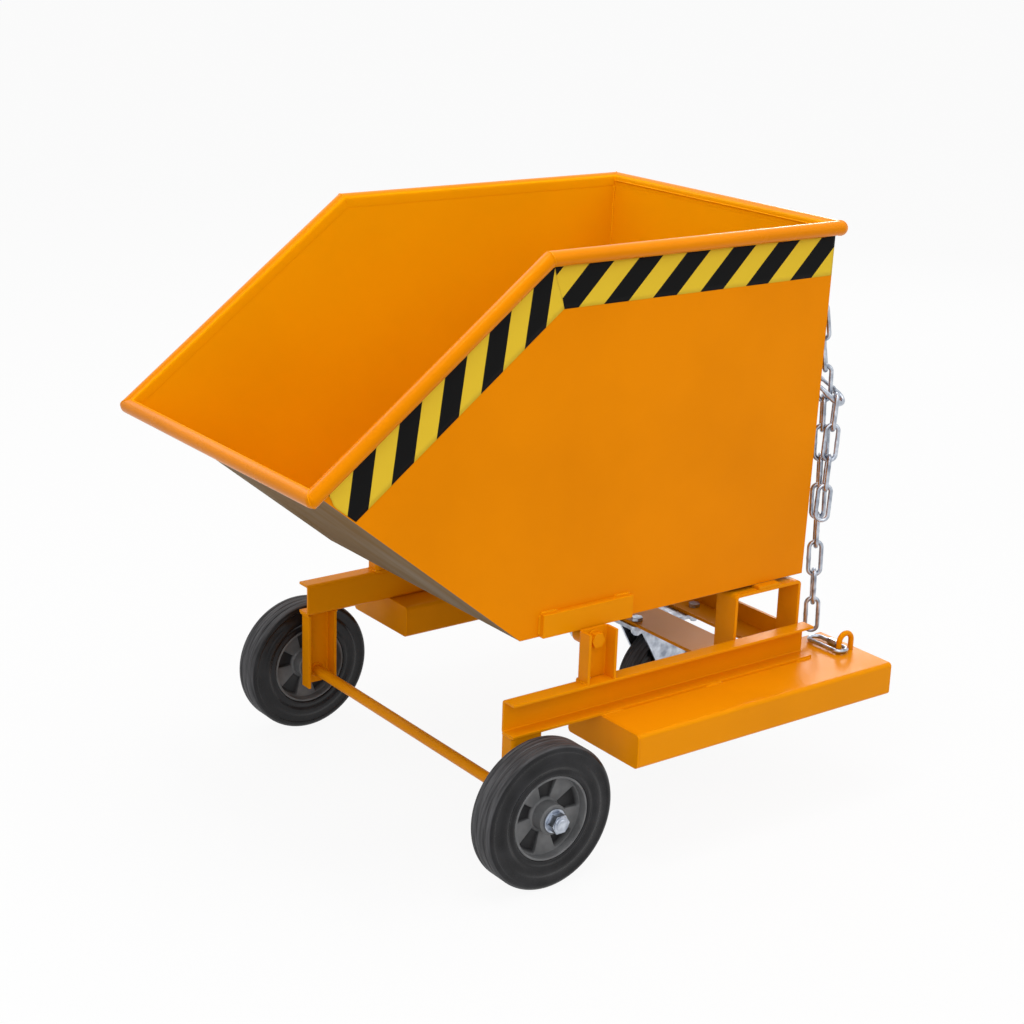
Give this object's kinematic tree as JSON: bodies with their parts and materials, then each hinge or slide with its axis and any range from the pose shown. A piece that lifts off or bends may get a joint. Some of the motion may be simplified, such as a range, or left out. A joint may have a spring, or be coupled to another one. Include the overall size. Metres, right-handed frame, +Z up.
{
  "type": "tipping skip trolley",
  "caption": "Open sheet-steel skip that tips forward on a wheeled chassis with fork pockets, front wheels, a swivel castor and a lock chain.",
  "frame": {"origin": "middle of the bounding box, on the floor", "axes": "+X the way the skip tips, +Y its left side, +Z up"},
  "size_m": [1.1306, 0.866, 1.0231],
  "materials": {
    "orange_paint": "satin powder coat",
    "zinc_plate": "bright zinc plate",
    "tyre_rubber": "matt solid rubber",
    "wheel_plastic": "moulded",
    "bush_steel": "turned"
  },
  "bodies": {
    "chassis": {"main_channel_left": "orange_paint", "main_channel_right": "orange_paint", "pivot_post_left": "orange_paint", "pivot_post_right": "orange_paint", "wheel_post_left": "orange_paint", "wheel_post_right": "orange_paint", "fork_pocket_left": "orange_paint", "fork_pocket_right": "orange_paint", "pocket_front_plates": "orange_paint", "front_cross_bar": "orange_paint", "rear_cross_angle": "orange_paint", "rear_rest_left": "orange_paint", "rear_rest_right": "orange_paint", "rest_pads": "orange_paint", "axle_bar": "orange_paint", "axle_spacers": "orange_paint", "pivot_bolts": "orange_paint", "pivot_washers": "orange_paint", "chain_eye": "orange_paint", "pivot_nuts": "zinc_plate", "axle_washers": "zinc_plate", "axle_nuts": "zinc_plate", "castor_plate": "zinc_plate", "castor_bolts": "zinc_plate", "castor_nuts": "zinc_plate", "castor_swivel_ring": "zinc_plate", "castor_kingpin": "zinc_plate"},
    "skip": {"skip_wrap": "orange_paint", "skip_side_left": "orange_paint", "skip_side_right": "orange_paint", "rim_tube_rear": "orange_paint", "rim_tube_top_left": "orange_paint", "rim_tube_top_right": "orange_paint", "rim_tube_slope_left": "orange_paint", "rim_tube_slope_right": "orange_paint", "rim_tube_lip": "orange_paint", "bearing_bar_left": "orange_paint", "bearing_bar_right": "orange_paint", "pivot_sleeve_left": "orange_paint", "pivot_sleeve_right": "orange_paint", "chain_anchor": "zinc_plate", "lock_chain": "zinc_plate", "chain_tail": "zinc_plate", "snap_hook": "zinc_plate"},
    "hook_gate": {"snap_hook_gate": "zinc_plate"},
    "front_wheel_left": {"front_tyre_left": "tyre_rubber", "front_rim_left": "wheel_plastic", "front_bush_left": "bush_steel"},
    "front_wheel_right": {"front_tyre_right": "tyre_rubber", "front_rim_right": "wheel_plastic", "front_bush_right": "bush_steel"},
    "castor_fork": {"castor_fork": "zinc_plate", "castor_axle_bolt": "zinc_plate", "castor_axle_nut": "zinc_plate"},
    "castor_wheel": {"castor_tyre": "tyre_rubber", "castor_rim": "wheel_plastic", "castor_bush": "bush_steel"},
    "quick_link": {"quick_link": "zinc_plate", "quick_link_nut": "zinc_plate"}
  },
  "joints": [
    {"name": "skip_tilt", "type": "hinge", "parent": "chassis", "child": "skip", "pos_m": [0.02208, 0, 0.373], "axis": [0, 1, 0], "range_deg": [0, 65]},
    {"name": "front_wheel_left_roll", "type": "hinge", "parent": "chassis", "child": "front_wheel_left", "pos_m": [0.17008, 0.3778, 0.125], "axis": [0, 1, 0], "continuous": true},
    {"name": "front_wheel_right_roll", "type": "hinge", "parent": "chassis", "child": "front_wheel_right", "pos_m": [0.17008, -0.3778, 0.125], "axis": [0, 1, 0], "continuous": true},
    {"name": "castor_swivel", "type": "hinge", "parent": "chassis", "child": "castor_fork", "pos_m": [-0.35993, 0, 0.227], "axis": [0, 0, 1], "continuous": true},
    {"name": "castor_wheel_roll", "type": "hinge", "parent": "castor_fork", "child": "castor_wheel", "pos_m": [-0.40992, 0, 0.1], "axis": [0, 1, 0], "continuous": true},
    {"name": "quick_link_swing", "type": "hinge", "parent": "chassis", "child": "quick_link", "pos_m": [-0.52192, 0.343, 0.2516], "axis": [0, 0, 1], "range_deg": [-30, 30]},
    {"name": "hook_gate_swing", "type": "hinge", "parent": "skip", "child": "hook_gate", "pos_m": [-0.52575, 0.27102, 0.71859], "axis": [-0.2355, 0.6465, 0.7256], "range_deg": [0, 30], "stiffness_Nm_per_rad": 0.05, "springref_deg": -17.19}
  ]
}
